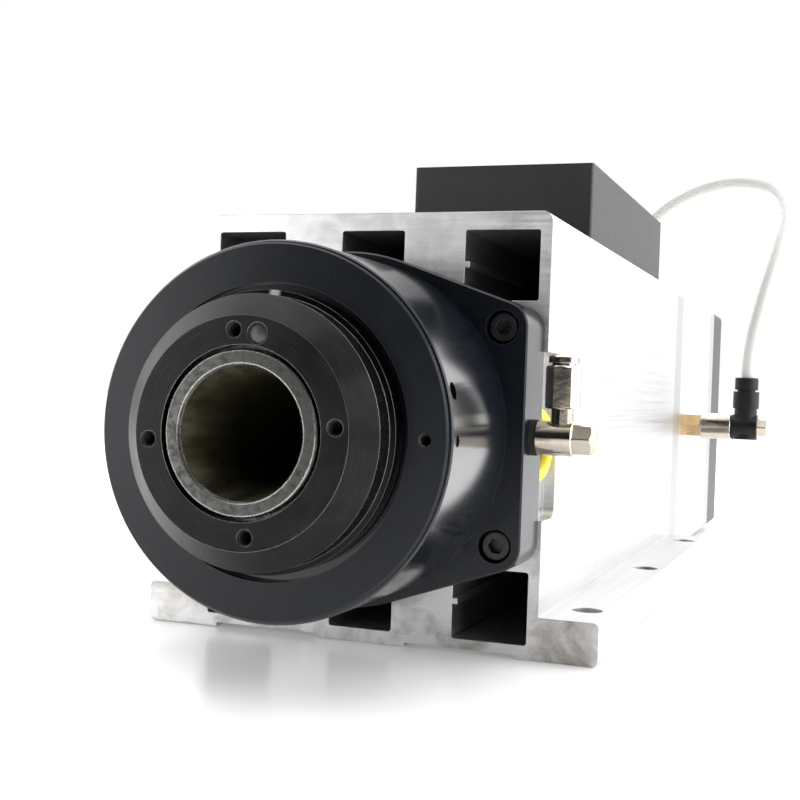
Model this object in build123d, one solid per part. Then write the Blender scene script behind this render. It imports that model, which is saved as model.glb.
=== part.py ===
from build123d import *
import math
import os

# Motor spindle with an automatic tool change nose, air cooled, in millimetres.
# The spindle axis is Y. The nose face lies at y = 0 and the motor runs towards +Y. +Z is up.

# Spindle nose and taper
gauge_radius = 15.875
mouth_chamfer = 0.625
taper_slope = 7 / 48
taper_end = 48.0
nose_radius = 19.9
nose_edge = 0.5
shaft_thread_radius = 21.5
shaft_seat_radius = 22.5
shaft_collar_radius = 27.0
shaft_collar_length = 7.0
rotor_seat_radius = 20.0
rear_seat_radius = 17.5

# Gripper and drawbar
pocket_radius = 10.5
pocket_length = 8.0
grip_bore_radius = 8.8
spring_bore_radius = 12.2
spring_bore_start = 100.0
drawbar_radius = 5.6
drawbar_stroke = 7.0
running_gap = 0.05
finger_count = 6
finger_slit = 1.6
spring_disc_count = 16
spring_disc_thickness = 2.2

# Labyrinth nut on the nose
nut_face_radius = 27.7
nut_cone_length = 5.5
nut_body_radius = 33.2
nut_body_end = 11.6
nut_rim_radius = 34.6
nut_rim_end = 16.8
nut_neck_radius = 30.5
nut_lip_gap = 0.9
nut_lip_depth = 3.0
nut_hole_circle = 24.35
nut_hole_radius = 1.7
nut_hole_depth = 6.0
nut_hole_chamfer = 0.35
nut_hole_turn = 5.5
plug_circle = 23.75
plug_radius = 2.3
plug_angle = 80.8
plug_depth = 3.8
plug_dome = 0.6

# Front cover
cover_face = 14.6
cover_radius = 46.5
cover_length = 10.2
cover_rim = 1.6
cover_bore_radius = 36.7
cover_plug_radius = 44.0
cover_recess_depth = 3.0
labyrinth_gap = 0.4
cover_hole_circle = 40.9
cover_hole_radius = 1.35
cover_hole_chamfer = 0.3
purge_port_radius = 2.2
purge_port_angle = 14.4
purge_port_depth = 6.0
lock_screw_radius = 1.5
lock_screw_depth = 5.0
lock_screw_recess = 0.6
lock_hex_half = 1.5
lock_hex_depth = 2.2
rim_port_entry = 4.0
rim_port_setback = 3.3
air_drill_radius = 1.2

# Front housing with its square flange
housing_radius = 47.3
housing_edge = 0.4
flange_front = 61.8
flange_thickness = 18.8
flange_inset = 1.15
flange_round_radius = 49.6
flange_corner_radius = 7.0
flange_bolt_z = 29.3
flange_screw_radius = 2.5
flange_screw_head_radius = 4.0
flange_screw_length = 30.0
counterbore_radius = 4.6
counterbore_depth = 6.4
housing_rear_bore = 33.0
spigot_length = 6.0
spigot_clearance = 0.1

# Bearings: bore radius, outside radius, width and ball radius
front_bearing_bore = shaft_seat_radius
front_bearing_outside = 37.5
bearing_width = 16.0
bearing_spacer = 4.0
front_ball_radius = 4.6
front_ball_count = 14
rear_bearing_outside = 31.0
rear_bearing_width = 14.0
rear_ball_radius = 4.1
rear_ball_count = 12
groove_gap = 0.06

# Motor body, an extrusion with air channels and a foot
body_half_width = 53.45
body_top = 63.0
body_bottom = -62.6
body_edge = 3.0
foot_half_width = 70.5
foot_thickness = 12.1
foot_edge = 1.5
stator_bore_radius = 42.0
side_wall = 3.25
corner_channel_width = 22.0
corner_channel_low = 37.8
middle_channel_half = 9.8
channel_roof = 5.2
channel_floor = 4.0
channel_corner = 0.8
channel_wall = 3.5
side_channel_half = 20.0
side_channel_width = 4.5
notch_floor = 2.2
lug_height = 1.7
lug_depth = 1.5
lug_level = 48.0
notch_half = 23.6
notch_length = 14.0
notch_edge = 3.0
pad_inner = 14.0
pad_outer = 47.0
pad_relief = 1.1
foot_hole_x = 63.0
foot_hole_radius = 4.5
foot_hole_first = 20.4
foot_hole_pitch = 104.0

# Stator and rotor
stator_front_space = 37.4
stator_length = 150.0
stator_rear_space = 62.0
air_gap = 0.4
rotor_radius = 25.6
slot_count = 18
slot_width = 4.0
slot_depth = 9.0
slot_start_radius = 27.2
winding_overhang = 24.0
winding_gap = 0.2
end_ring_length = 8.0
stator_fit = 0.05

# Rear bearing shield, pneumatic cylinder and rear plate
shield_length = 20.0
rear_section_bottom = -60.0
rear_chamber_radius = 34.0
rear_chamber_length = 46.0
bulkhead_length = 12.0
cylinder_radius = 39.0
cylinder_body_length = 112.0
rear_plate_length = 18.0
rear_plate_spigot = 8.0
piston_length = 14.0
piston_rod_radius = 13.0
piston_gap = 0.5
ring_section = 1.6
tie_screw_radius = 2.5
tie_screw_depth = 12.0
lock_nut_radius = 24.0
lock_nut_length = 9.0
rear_shoulder_length = 3.0
shaft_tail_length = 2.0
drawbar_cap_gap = 3.0
drawbar_cap_radius = 11.5
drawbar_cap_length = 14.0
sensor_radius = 4.0
sensor_gap = 2.0

# Terminal box
box_left = -19.9
box_right = 45.4
box_setback = 89.4
box_length = 154.0
box_height = 29.7
box_wall = 2.6
box_edge = 1.2
lid_thickness = 3.0
lid_ledge = 1.2
gasket_thickness = 0.8
box_screw_radius = 1.5
box_screw_inset = 6.0
gland_radius = 8.0
gland_flat = 20.0
gland_level = 15.5
gland_x = (1.5, 24.5)
gland_length = 22.0
cable_hole_radius = 7.0

# Front air fitting
port_setback = 8.9
port_radius = 2.4
washer_radius = 4.9
washer_thickness = 1.4
banjo_radius = 4.65
banjo_length = 10.3
banjo_hex_flat = 7.8
banjo_hex_length = 6.0
sleeve_setback = 3.6
sleeve_neck_radius = 3.0
sleeve_flat = 8.9
sleeve_bottom = 8.0
sleeve_top = 19.6
release_radius = 4.2
release_top = 22.3
front_tube_radius = 2.0
tube_stop = 9.0
release_depth = 3.0
release_travel = 0.8
release_wall = 0.95

# Sensor lead in the side notch
lead_inset = 1.65
lead_level = -2.5
lead_loop_radius = 8.6
lead_radius = 1.6

# Rear air fitting, link tube and top fitting
rear_port_setback = 12.0
rear_base_flat = 10.0
rear_base_length = 8.55
rear_collar_radius = 6.2
rear_collar_length = 15.0
elbow_reach = 6.0
elbow_radius = 6.0
elbow_low = -5.5
elbow_top = 17.0
elbow_screw_flat = 8.0
elbow_screw_length = 5.5
elbow_ring_top = 23.6
tube_radius = 2.95
tube_clearance = 0.1
top_port_x = 13.0
top_port_setback = 16.0
top_fitting_flat = 10.0
top_fitting_height = 14.0
top_hex_height = 6.0
top_ring_height = 4.0

# Cooling fan
fan_depth = 38.0
cowl_wall = 3.0
plenum_depth = 10.0
fan_duct_radius = 47.0
fan_blade_radius = 44.8
fan_hub_radius = 21.0
fan_blade_count = 7
fan_blade_length = 14.0
fan_blade_thickness = 1.8
fan_strut_width = 4.0
fan_strut_count = 4
fan_strut_depth = 6.0
fan_pin_radius = 2.0
guard_thickness = 2.0
guard_wire = 1.8
guard_rings = (14.0, 24.0, 34.0, 44.0)
guard_screw_radius = 2.0
guard_screw_depth = 12.0
guard_head_radius = 3.6
guard_head_height = 2.2
guard_inset = 1.0
fan_clearance = 2.0
blade_stations = ((0.0, 48.0, 0.95), (0.5, 58.0, 0.8), (1.0, 66.0, 0.7))
hub_wall = 2.0
hub_edge = 1.5
hub_floor = 3.0
guard_screw_inset = 7.0

# Places that follow from the sizes above
mouth_radius = gauge_radius + mouth_chamfer
taper_small_radius = gauge_radius - (taper_end - mouth_chamfer) * taper_slope
nut_bore_radius = nose_radius + nut_lip_gap
cover_back = cover_face + cover_length
cover_step = cover_face + cover_rim
rim_port_y = cover_step + rim_port_setback
bearings_start = cover_back
second_bearing = bearings_start + bearing_width + bearing_spacer
bearings_end = second_bearing + bearing_width
flange_back = flange_front + flange_thickness
flange_half_width = body_half_width - flange_inset
flange_bolt_x = flange_half_width - flange_corner_radius
port_y = flange_front + port_setback
banjo_start = flange_half_width + washer_thickness
banjo_end = banjo_start + banjo_length
banjo_hex_end = banjo_end + banjo_hex_length
sleeve_x = banjo_end - sleeve_setback
body_front = flange_back
stator_start = body_front + stator_front_space
stator_end = stator_start + stator_length
cable_hole_y = stator_end + winding_overhang / 2
body_rear = stator_end + stator_rear_space
corner_channel_outer = body_half_width - side_wall
corner_channel_inner = corner_channel_outer - corner_channel_width
side_channel_outer = corner_channel_outer - notch_floor
side_channel_inner = side_channel_outer - side_channel_width
lead_x = corner_channel_outer + lead_inset
box_front = body_front + box_setback
box_rear = box_front + box_length
shield_rear = body_rear + shield_length
rear_bearing_start = body_rear + rear_shoulder_length
rear_bearing_end = rear_bearing_start + rear_bearing_width
lock_nut_end = rear_bearing_end + lock_nut_length
shaft_end = lock_nut_end + shaft_tail_length
cap_start = shaft_end + drawbar_stroke + drawbar_cap_gap
cap_end = cap_start + drawbar_cap_length
bulkhead_start = shield_rear + rear_chamber_length
bulkhead_end = bulkhead_start + bulkhead_length
cylinder_end = shield_rear + cylinder_body_length
rear_plate_end = cylinder_end + rear_plate_length
fan_start = rear_plate_end
rear_port_y = shield_rear + rear_port_setback
top_port_y = cylinder_end - top_port_setback
rear_base_end = body_half_width + rear_base_length
rear_collar_end = rear_base_end + rear_collar_length
elbow_x = rear_collar_end + elbow_reach
elbow_screw_start = elbow_x + elbow_radius - 0.5
elbow_screw_end = elbow_screw_start + elbow_screw_length
piston_end = cylinder_end - rear_plate_spigot - 1.0
piston_start = piston_end - piston_length
piston_nose = cap_end + piston_gap
pocket_end = taper_end + pocket_length
box_top = body_top + box_height
foot_top = body_bottom + foot_thickness
fan_rear = fan_start + fan_depth
guard_end = fan_rear + guard_thickness
fan_centre_z = (body_top + rear_section_bottom) / 2
blade_start = fan_start + plenum_depth + fan_clearance

os.makedirs("parts", exist_ok=True)
placed_nodes = []


def turned(*corners):
    """A ring or shaft turned about the spindle axis from (radius, y) corners."""
    outline = make_face(Polyline(*corners, close=True))
    return revolve(outline, Axis.Y, 360)


def rod_y(radius, start, end, x=0.0, z=0.0):
    return Pos(x, (start + end) / 2, z) * Rot(90, 0, 0) * Cylinder(radius, end - start)


def rod_x(radius, start, end, y=0.0, z=0.0):
    return Pos((start + end) / 2, y, z) * Rot(0, 90, 0) * Cylinder(radius, end - start)


def rod_z(radius, bottom, top, x=0.0, y=0.0):
    return Pos(x, y, (bottom + top) / 2) * Cylinder(radius, top - bottom)


def block(x_span, y_span, z_span):
    """A box between two limits along each axis."""
    spans = (x_span, y_span, z_span)
    middle = [(low + high) / 2 for low, high in spans]
    return Pos(*middle) * Box(*[high - low for low, high in spans])


def along_y(outline, start, end):
    """An outline drawn as (x, z), carried from one y to another."""
    face_plane = Plane(origin=(0, start, 0), x_dir=(1, 0, 0), z_dir=(0, -1, 0))
    return extrude(face_plane * outline, amount=end - start, dir=(0, 1, 0))


def hexagon(across_flats, turn=0.0):
    return Rot(0, 0, turn) * RegularPolygon(across_flats / 2, 6, major_radius=False)


def hex_y(across_flats, start, end, x=0.0, z=0.0):
    return Pos(x, 0, z) * along_y(hexagon(across_flats), start, end)


def hex_x(across_flats, start, end, y=0.0, z=0.0):
    face_plane = Plane(origin=(start, y, z), x_dir=(0, 1, 0), z_dir=(1, 0, 0))
    return extrude(face_plane * hexagon(across_flats), amount=end - start, dir=(1, 0, 0))


def hex_z(across_flats, bottom, top, x=0.0, y=0.0):
    return Pos(x, y, bottom) * extrude(hexagon(across_flats), amount=top - bottom)


def about_axis(shape, degrees):
    """The shape turned about the spindle axis; positive turns +X towards +Z."""
    return Rot(0, -degrees, 0) * shape


def ring_pattern(shape, count, first=0.0):
    return [about_axis(shape, first + index * 360 / count) for index in range(count)]


def group(shapes):
    """Separate solids kept together as one node."""
    solids = []
    for shape in shapes:
        solids.extend(shape.solids())
    return Compound(children=solids)


def save(name, shape):
    export_step(shape, f"parts/{name}.step")
    placed_nodes.append(name)


def four_corners(x, z):
    return [(sx * x, sz * z) for sx in (-1, 1) for sz in (-1, 1)]


def socket_screw_y(head_start, head_radius, head_length, shank_radius, shank_length, x, z):
    """A socket head screw driven towards +Y."""
    head_end = head_start + head_length
    head = rod_y(head_radius, head_start, head_end, x, z)
    shank = rod_y(shank_radius, head_end, head_end + shank_length, x, z)
    socket = hex_y(head_radius, head_start, head_start + head_length * 0.6, x, z)
    return chamfer((head + shank).faces().sort_by(Axis.Y)[0].edges(), 0.4) - socket


# Spindle shaft
def make_shaft():
    neck = shaft_seat_radius - 0.5
    outer = [
        (mouth_radius, 0),
        (nose_radius - nose_edge, 0),
        (nose_radius, nose_edge),
        (nose_radius, nut_lip_depth + 0.6),
        (shaft_thread_radius, nut_lip_depth + 0.6),
        (shaft_thread_radius, bearings_start),
        (shaft_seat_radius, bearings_start),
        (shaft_seat_radius, bearings_end),
        (shaft_collar_radius, bearings_end),
        (shaft_collar_radius, bearings_end + shaft_collar_length),
        (neck, bearings_end + shaft_collar_length),
        (rotor_seat_radius, stator_start - winding_overhang),
        (rotor_seat_radius, stator_end + winding_overhang),
        (rear_seat_radius + 3.0, stator_end + winding_overhang),
        (rear_seat_radius + 3.0, rear_bearing_start),
        (rear_seat_radius, rear_bearing_start),
        (rear_seat_radius, shaft_end),
    ]
    inner = [
        (spring_bore_radius, shaft_end),
        (spring_bore_radius, spring_bore_start),
        (grip_bore_radius, spring_bore_start),
        (grip_bore_radius, pocket_end + 1.5),
        (pocket_radius, pocket_end),
        (pocket_radius, taper_end + 1.0),
        (taper_small_radius, taper_end),
        (gauge_radius, mouth_chamfer),
    ]
    return turned(*outer, *inner)


save("spindle_shaft", make_shaft())


def hole_mouth(radius, edge):
    """The chamfer round the mouth of a hole along Y that starts at y = 0."""
    return turned((0, -0.01), (radius + edge, -0.01), (radius, edge), (0, edge))


# Labyrinth nut, with wrench holes and a balance plug
def make_nut():
    ring = turned(
        (nut_bore_radius, 0),
        (nut_face_radius, 0),
        (nut_body_radius, nut_cone_length),
        (nut_body_radius, nut_body_end),
        (nut_rim_radius, nut_body_end + 0.4),
        (nut_rim_radius, nut_rim_end),
        (nut_neck_radius, nut_rim_end),
        (nut_neck_radius, bearings_start - 2.0),
        (nut_neck_radius - 3.2, bearings_start - 2.0),
        (nut_neck_radius - 3.2, bearings_start),
        (shaft_thread_radius, bearings_start),
        (shaft_thread_radius, nut_lip_depth),
        (nut_bore_radius, nut_lip_depth),
    )
    hole = rod_y(nut_hole_radius, -0.1, nut_hole_depth, nut_hole_circle)
    lead_in = Pos(nut_hole_circle, 0, 0) * hole_mouth(nut_hole_radius, nut_hole_chamfer)
    for cut in ring_pattern(hole, 4, nut_hole_turn) + ring_pattern(lead_in, 4, nut_hole_turn):
        ring -= cut
    return ring - balance_plug_space()


def balance_plug_space():
    bore = rod_y(plug_radius, -0.1, plug_depth, plug_circle)
    lead_in = Pos(plug_circle, 0, 0) * hole_mouth(plug_radius, nut_hole_chamfer)
    return about_axis(bore + lead_in, plug_angle)


def make_plug():
    cap_radius = (plug_radius**2 + plug_dome**2) / (2 * plug_dome)
    ball = Pos(plug_circle, cap_radius, 0) * Sphere(cap_radius)
    return about_axis(ball & rod_y(plug_radius, 0, plug_depth, plug_circle), plug_angle)


save("labyrinth_nut", make_nut())
save("balance_plug", make_plug())


# Front cover, a threaded ring locked by one radial screw
def rim_port(radius, angle, depth):
    return about_axis(rod_x(radius, housing_radius - depth, housing_radius + 2, rim_port_y), angle)


def make_cover():
    ring = turned(
        (cover_bore_radius, cover_face),
        (cover_radius - housing_edge, cover_face),
        (cover_radius, cover_face + housing_edge),
        (cover_radius, cover_step),
        (cover_plug_radius, cover_step),
        (cover_plug_radius, cover_back),
        (nut_neck_radius + labyrinth_gap, cover_back),
        (nut_neck_radius + labyrinth_gap, cover_face + cover_recess_depth),
        (cover_bore_radius, cover_face + cover_recess_depth),
    )
    ring -= rod_y(cover_hole_radius, cover_face - 1, cover_back + 1, cover_hole_circle)
    ring -= Pos(cover_hole_circle, cover_face, 0) * hole_mouth(cover_hole_radius, cover_hole_chamfer)
    ring -= rim_port(purge_port_radius, purge_port_angle, purge_port_depth)
    return ring - rim_port(lock_screw_radius, 0, lock_screw_depth)


def make_lock_screw():
    inner = housing_radius - lock_screw_depth
    shank = rod_x(lock_screw_radius, inner, housing_radius - lock_screw_recess, rim_port_y)
    return shank - hex_x(lock_hex_half, housing_radius - lock_hex_depth, housing_radius, rim_port_y)


save("front_cover", make_cover())
save("cover_lock_screw", make_lock_screw())


# Front housing: bearing cylinder, square flange, air port and screws
def flange_outline():
    edges = Circle(flange_round_radius).edges()
    for x, z in four_corners(flange_bolt_x, flange_bolt_z):
        edges += (Pos(x, z) * Circle(flange_corner_radius)).edges()
    return make_hull(edges)


def make_housing():
    barrel = turned(
        (cover_plug_radius, cover_step),
        (housing_radius - housing_edge, cover_step),
        (housing_radius, cover_step + housing_edge),
        (housing_radius, flange_back),
        (stator_bore_radius - spigot_clearance, flange_back),
        (stator_bore_radius - spigot_clearance, flange_back + spigot_length),
        (housing_rear_bore, flange_back + spigot_length),
        (housing_rear_bore, bearings_end),
        (front_bearing_outside, bearings_end),
        (front_bearing_outside, cover_back),
        (cover_plug_radius, cover_back),
    )
    bore = rod_y(housing_radius - 1, flange_front - 1, flange_back + 1)
    flange = along_y(flange_outline(), flange_front, flange_back)
    flange = chamfer(flange.faces().sort_by(Axis.Y)[0].edges(), housing_edge)
    housing = barrel + (flange - bore)
    for x, z in four_corners(flange_bolt_x, flange_bolt_z):
        housing -= rod_y(flange_screw_radius + 0.25, flange_front - 1, flange_back + 1, x, z)
        housing -= rod_y(counterbore_radius, flange_front - 1, flange_front + counterbore_depth, x, z)
    port_depth = cover_hole_circle - 2 * air_drill_radius
    housing -= rod_x(port_radius, port_depth, flange_half_width + 1, port_y)
    housing -= rod_y(air_drill_radius, cover_back - 1, port_y, cover_hole_circle)
    housing -= rim_port(purge_port_radius, purge_port_angle, rim_port_entry)
    return housing - rim_port(lock_screw_radius, 0, rim_port_entry)


def make_flange_screws():
    head_length = 2 * flange_screw_radius
    start = flange_front + counterbore_depth - head_length
    return group(
        socket_screw_y(
            start, flange_screw_head_radius, head_length, flange_screw_radius, flange_screw_length, x, z
        )
        for x, z in four_corners(flange_bolt_x, flange_bolt_z)
    )


save("front_housing", make_housing())
save("flange_screws", make_flange_screws())


# Angular contact bearings: grooved rings, caged balls
def grooved_ring(inner_radius, outer_radius, start, width, pitch_radius, ball_radius):
    end = start + width
    ring = turned((inner_radius, start), (outer_radius, start), (outer_radius, end), (inner_radius, end))
    groove = Pos(pitch_radius, start + width / 2) * Circle(ball_radius + groove_gap)
    return ring - revolve(groove, Axis.Y, 360)


def bearing_parts(bore, outside, start, width, ball_radius, ball_count):
    """Inner ring, outer ring, cage and the list of balls of one bearing."""
    pitch = (bore + outside) / 2
    middle = start + width / 2
    shoulder = ball_radius * 0.62
    inner = grooved_ring(bore, pitch - shoulder, start, width, pitch, ball_radius)
    outer = grooved_ring(pitch + shoulder, outside, start, width, pitch, ball_radius)
    balls = ring_pattern(Pos(pitch, middle, 0) * Sphere(ball_radius), ball_count)
    half_cage = ball_radius + 1.6
    cage = turned(
        (pitch - 1.5, middle - half_cage),
        (pitch + 1.5, middle - half_cage),
        (pitch + 1.5, middle + half_cage),
        (pitch - 1.5, middle + half_cage),
    )
    pocket = rod_x(ball_radius + groove_gap, pitch - 4, pitch + 4, middle)
    for cut in ring_pattern(pocket, ball_count):
        cage -= cut
    return inner, outer, cage, balls


front_sets = [
    bearing_parts(
        front_bearing_bore, front_bearing_outside, start, bearing_width, front_ball_radius, front_ball_count
    )
    for start in (bearings_start, second_bearing)
]
save("front_bearing_inner_rings", group(item[0] for item in front_sets))
save("front_bearing_outer_rings", group(item[1] for item in front_sets))
save("front_ball_cages", group(item[2] for item in front_sets))
save("front_balls", group(ball for item in front_sets for ball in item[3]))


def spacer(inner_radius, outer_radius):
    start = bearings_start + bearing_width
    end = second_bearing
    return turned((inner_radius, start), (outer_radius, start), (outer_radius, end), (inner_radius, end))


save("inner_spacer", spacer(front_bearing_bore, front_bearing_bore + 4.0))
save("outer_spacer", spacer(front_bearing_outside - 4.0, front_bearing_outside))

rear_inner, rear_outer, rear_cage, rear_balls = bearing_parts(
    rear_seat_radius,
    rear_bearing_outside,
    rear_bearing_start,
    rear_bearing_width,
    rear_ball_radius,
    rear_ball_count,
)
save("rear_bearing_inner_ring", rear_inner)
save("rear_bearing_outer_ring", rear_outer)
save("rear_ball_cage", rear_cage)
save("rear_balls", group(rear_balls))


# Motor body: extruded profile with air channels, foot pads and a side notch
def corner_channel(floor, roof):
    """The outline of a right-hand corner channel with its small lug."""
    width = corner_channel_outer - corner_channel_inner
    height = roof - floor
    centre = ((corner_channel_outer + corner_channel_inner) / 2, (roof + floor) / 2)
    opening = Pos(*centre) * RectangleRounded(width, height, channel_corner)
    level = math.copysign(lug_level, centre[1])
    return opening - Pos(corner_channel_inner, level) * Rectangle(2 * lug_depth, lug_height)


def channel_outlines(bottom):
    """Corner and middle channels above and below the bore, as (x, z) outlines."""
    roof = body_top - channel_roof
    floor = bottom + channel_floor
    low = -corner_channel_low - (body_top + body_bottom)
    right = [corner_channel(corner_channel_low, roof), corner_channel(floor, low)]
    outlines = right + [mirror(outline, Plane.YZ) for outline in right]
    inner = stator_bore_radius + channel_wall
    for near, far in ((inner, roof), (floor, -inner)):
        middle = Pos(0, (near + far) / 2) * RectangleRounded(
            2 * middle_channel_half, far - near, channel_corner
        )
        outlines.append(middle)
    return outlines


def side_channel_outlines():
    width = side_channel_outer - side_channel_inner
    right = Pos(side_channel_inner + width / 2, 0) * RectangleRounded(
        width, 2 * side_channel_half, channel_corner
    )
    right -= Circle(stator_bore_radius + channel_wall)
    return [right, mirror(right, Plane.YZ)]


def section_outline(bottom):
    height = body_top - bottom
    return Pos(0, bottom + height / 2) * RectangleRounded(2 * body_half_width, height, body_edge)


def foot_outline():
    return Pos(0, body_bottom + foot_thickness / 2) * RectangleRounded(
        2 * foot_half_width, foot_thickness, foot_edge
    )


def foot_hole_places():
    rows = [body_front + foot_hole_first + index * foot_hole_pitch for index in range(3)]
    return [(side * foot_hole_x, y) for side in (-1, 1) for y in rows]


def make_body():
    outline = section_outline(body_bottom) + foot_outline()
    outline -= Circle(stator_bore_radius)
    for opening in channel_outlines(body_bottom) + side_channel_outlines():
        outline -= opening
    relief_width = pad_outer - pad_inner
    for side in (-1, 1):
        outline -= Pos(side * (pad_inner + relief_width / 2), body_bottom) * Rectangle(
            relief_width, 2 * pad_relief
        )
    body = along_y(outline, body_front, body_rear)
    for side in (-1, 1):
        x_span = sorted((side * corner_channel_outer, side * (body_half_width + 1)))
        y_span = (body_front - 5, body_front + notch_length)
        notch = block(x_span, y_span, (-notch_half, notch_half))
        body -= fillet(notch.edges().filter_by(Axis.X).group_by(Axis.Y)[-1], notch_edge)
    for x, y in foot_hole_places():
        body -= rod_z(foot_hole_radius, body_bottom - 1, foot_top + 1, x, y)
    for x, z in four_corners(flange_bolt_x, flange_bolt_z):
        body -= rod_y(flange_screw_radius, body_front - 1, body_front + flange_screw_length, x, z)
        body -= rod_y(tie_screw_radius, body_rear - tie_screw_depth, body_rear + 1, x, z)
    for x, y in box_screw_places():
        body -= rod_z(box_screw_radius, body_top - channel_roof - 1, body_top + 1, x, y)
    return body - rod_z(cable_hole_radius, 0, body_top + 1, 0, cable_hole_y)


def box_screw_places():
    inset = box_wall + box_screw_inset
    return [
        (x, y) for x in (box_left + inset, box_right - inset) for y in (box_front + inset, box_rear - inset)
    ]


save("motor_body", make_body())


# Stator, windings and rotor
def slot_outline(clearance):
    length = slot_depth - 2 * clearance
    centre = slot_start_radius + slot_depth / 2
    return Pos(centre, 0) * RectangleRounded(length, slot_width - 2 * clearance, slot_width / 4)


def slot_outlines(clearance):
    return [Rot(0, 0, index * 360 / slot_count) * slot_outline(clearance) for index in range(slot_count)]


def make_stator():
    outline = Circle(stator_bore_radius - stator_fit) - Circle(rotor_radius + air_gap)
    for slot in slot_outlines(0):
        outline -= slot
    return along_y(outline, stator_start, stator_end)


def make_windings():
    inner = slot_start_radius + winding_gap
    outer = slot_start_radius + slot_depth - winding_gap
    bars = [
        along_y(slot, stator_start - 1, stator_end + 1) for slot in slot_outlines(winding_gap)
    ]
    ends = []
    for near, far in (
        (stator_start - 1, stator_start - winding_overhang),
        (stator_end + 1, stator_end + winding_overhang),
    ):
        ends.append(turned((inner, near), (outer, near), (outer - 2, far), (inner + 1, far)))
    coil = ends[0] + ends[1]
    for bar in bars:
        coil += bar
    return coil


def make_rotor():
    return turned(
        (rotor_seat_radius, stator_start),
        (rotor_radius, stator_start),
        (rotor_radius, stator_end),
        (rotor_seat_radius, stator_end),
    )


def rotor_ring(near, far):
    rim = rotor_radius - 0.6
    return turned((rotor_seat_radius, near), (rim, near), (rim - 1.0, far), (rotor_seat_radius, far))


save("stator_core", make_stator())
save("stator_windings", make_windings())
save("rotor_core", make_rotor())
save(
    "rotor_end_rings",
    group(
        [
            rotor_ring(stator_start, stator_start - end_ring_length),
            rotor_ring(stator_end, stator_end + end_ring_length),
        ]
    ),
)


# Rear bearing shield
def make_shield():
    outline = section_outline(rear_section_bottom)
    for opening in channel_outlines(body_bottom):
        outline -= opening
    shield = along_y(outline, body_rear, shield_rear)
    shield += turned(
        (rear_bearing_outside, body_rear),
        (stator_bore_radius - spigot_clearance, body_rear),
        (stator_bore_radius - spigot_clearance, body_rear - spigot_length),
        (rear_bearing_outside, body_rear - spigot_length),
    )
    shield -= rod_y(rear_bearing_outside, rear_bearing_start, shield_rear + 1)
    shield -= rod_y(rear_bearing_outside - 4, body_rear - spigot_length - 1, shield_rear)
    for x, z in four_corners(flange_bolt_x, flange_bolt_z):
        shield -= rod_y(tie_screw_radius + 0.25, body_rear - 1, shield_rear + 1, x, z)
    return shield


def make_retainer():
    """A wave-spring seat that holds the rear bearing's outer ring."""
    return turned(
        (rear_bearing_outside - 3.5, rear_bearing_end),
        (rear_bearing_outside, rear_bearing_end),
        (rear_bearing_outside, shield_rear),
        (rear_bearing_outside - 3.5, shield_rear),
    )


def make_lock_nut():
    nut = turned(
        (rear_seat_radius, rear_bearing_end),
        (lock_nut_radius - 2, rear_bearing_end),
        (lock_nut_radius, rear_bearing_end + 2),
        (lock_nut_radius, lock_nut_end),
        (rear_seat_radius, lock_nut_end),
    )
    slot_depth_span = (lock_nut_radius - 2.5, lock_nut_radius + 1)
    slot = block(slot_depth_span, (lock_nut_end - 4, lock_nut_end + 1), (-2.5, 2.5))
    for cut in ring_pattern(slot, 4):
        nut -= cut
    return nut


save("rear_bearing_shield", make_shield())
save("bearing_retainer", make_retainer())
save("rear_lock_nut", make_lock_nut())


# Pneumatic cylinder that pushes the drawbar
def make_cylinder():
    outline = section_outline(rear_section_bottom)
    for opening in channel_outlines(body_bottom):
        outline -= opening
    cylinder = along_y(outline, shield_rear, cylinder_end)
    cylinder -= rod_y(rear_chamber_radius, shield_rear - 1, bulkhead_start)
    cylinder -= rod_y(piston_rod_radius + running_gap, bulkhead_start - 1, bulkhead_end + 1)
    cylinder -= rod_y(cylinder_radius, bulkhead_end, cylinder_end + 1)
    for x, z in four_corners(flange_bolt_x, flange_bolt_z):
        cylinder -= rod_y(tie_screw_radius + 0.25, shield_rear - 1, cylinder_end + 1, x, z)
    for y in sensor_places():
        cylinder -= rod_x(sensor_radius, -rear_chamber_radius - 12, 0, y)
    cylinder -= rod_x(port_radius, rear_chamber_radius - 2, body_half_width + 1, rear_port_y)
    return cylinder - rod_z(port_radius, cylinder_radius - 5, body_top + 1, top_port_x, top_port_y)


def sensor_places():
    return (cap_start - 5.0, cap_start + 4.5)


def make_rear_plate():
    outline = section_outline(rear_section_bottom)
    for opening in channel_outlines(body_bottom):
        outline -= opening
    plate = along_y(outline, cylinder_end, rear_plate_end)
    plate += rod_y(cylinder_radius, cylinder_end - rear_plate_spigot, cylinder_end + 1)
    for x, z in four_corners(flange_bolt_x, flange_bolt_z):
        plate -= rod_y(tie_screw_radius + 0.25, cylinder_end - 1, rear_plate_end + 1, x, z)
        plate -= rod_y(counterbore_radius, rear_plate_end - counterbore_depth, rear_plate_end + 1, x, z)
    return plate


def make_tie_screws():
    head_start = rear_plate_end - counterbore_depth
    tip = body_rear - tie_screw_depth
    screws = []
    for x, z in four_corners(flange_bolt_x, flange_bolt_z):
        head = rod_y(flange_screw_head_radius, head_start, head_start + 5.0, x, z)
        shank = rod_y(tie_screw_radius, tip, head_start, x, z)
        screws.append(head + shank - hex_y(4.0, head_start + 2.0, rear_plate_end, x, z))
    return group(screws)


def make_piston():
    disc_radius = cylinder_radius - running_gap
    groove = disc_radius - ring_section
    middle = (piston_start + piston_end) / 2
    return turned(
        (0, piston_nose),
        (piston_rod_radius - 1, piston_nose),
        (piston_rod_radius, piston_nose + 1),
        (piston_rod_radius, piston_start),
        (disc_radius, piston_start),
        (disc_radius, middle - ring_section),
        (groove, middle - ring_section),
        (groove, middle + ring_section),
        (disc_radius, middle + ring_section),
        (disc_radius, piston_end),
        (0, piston_end),
    )


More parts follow.
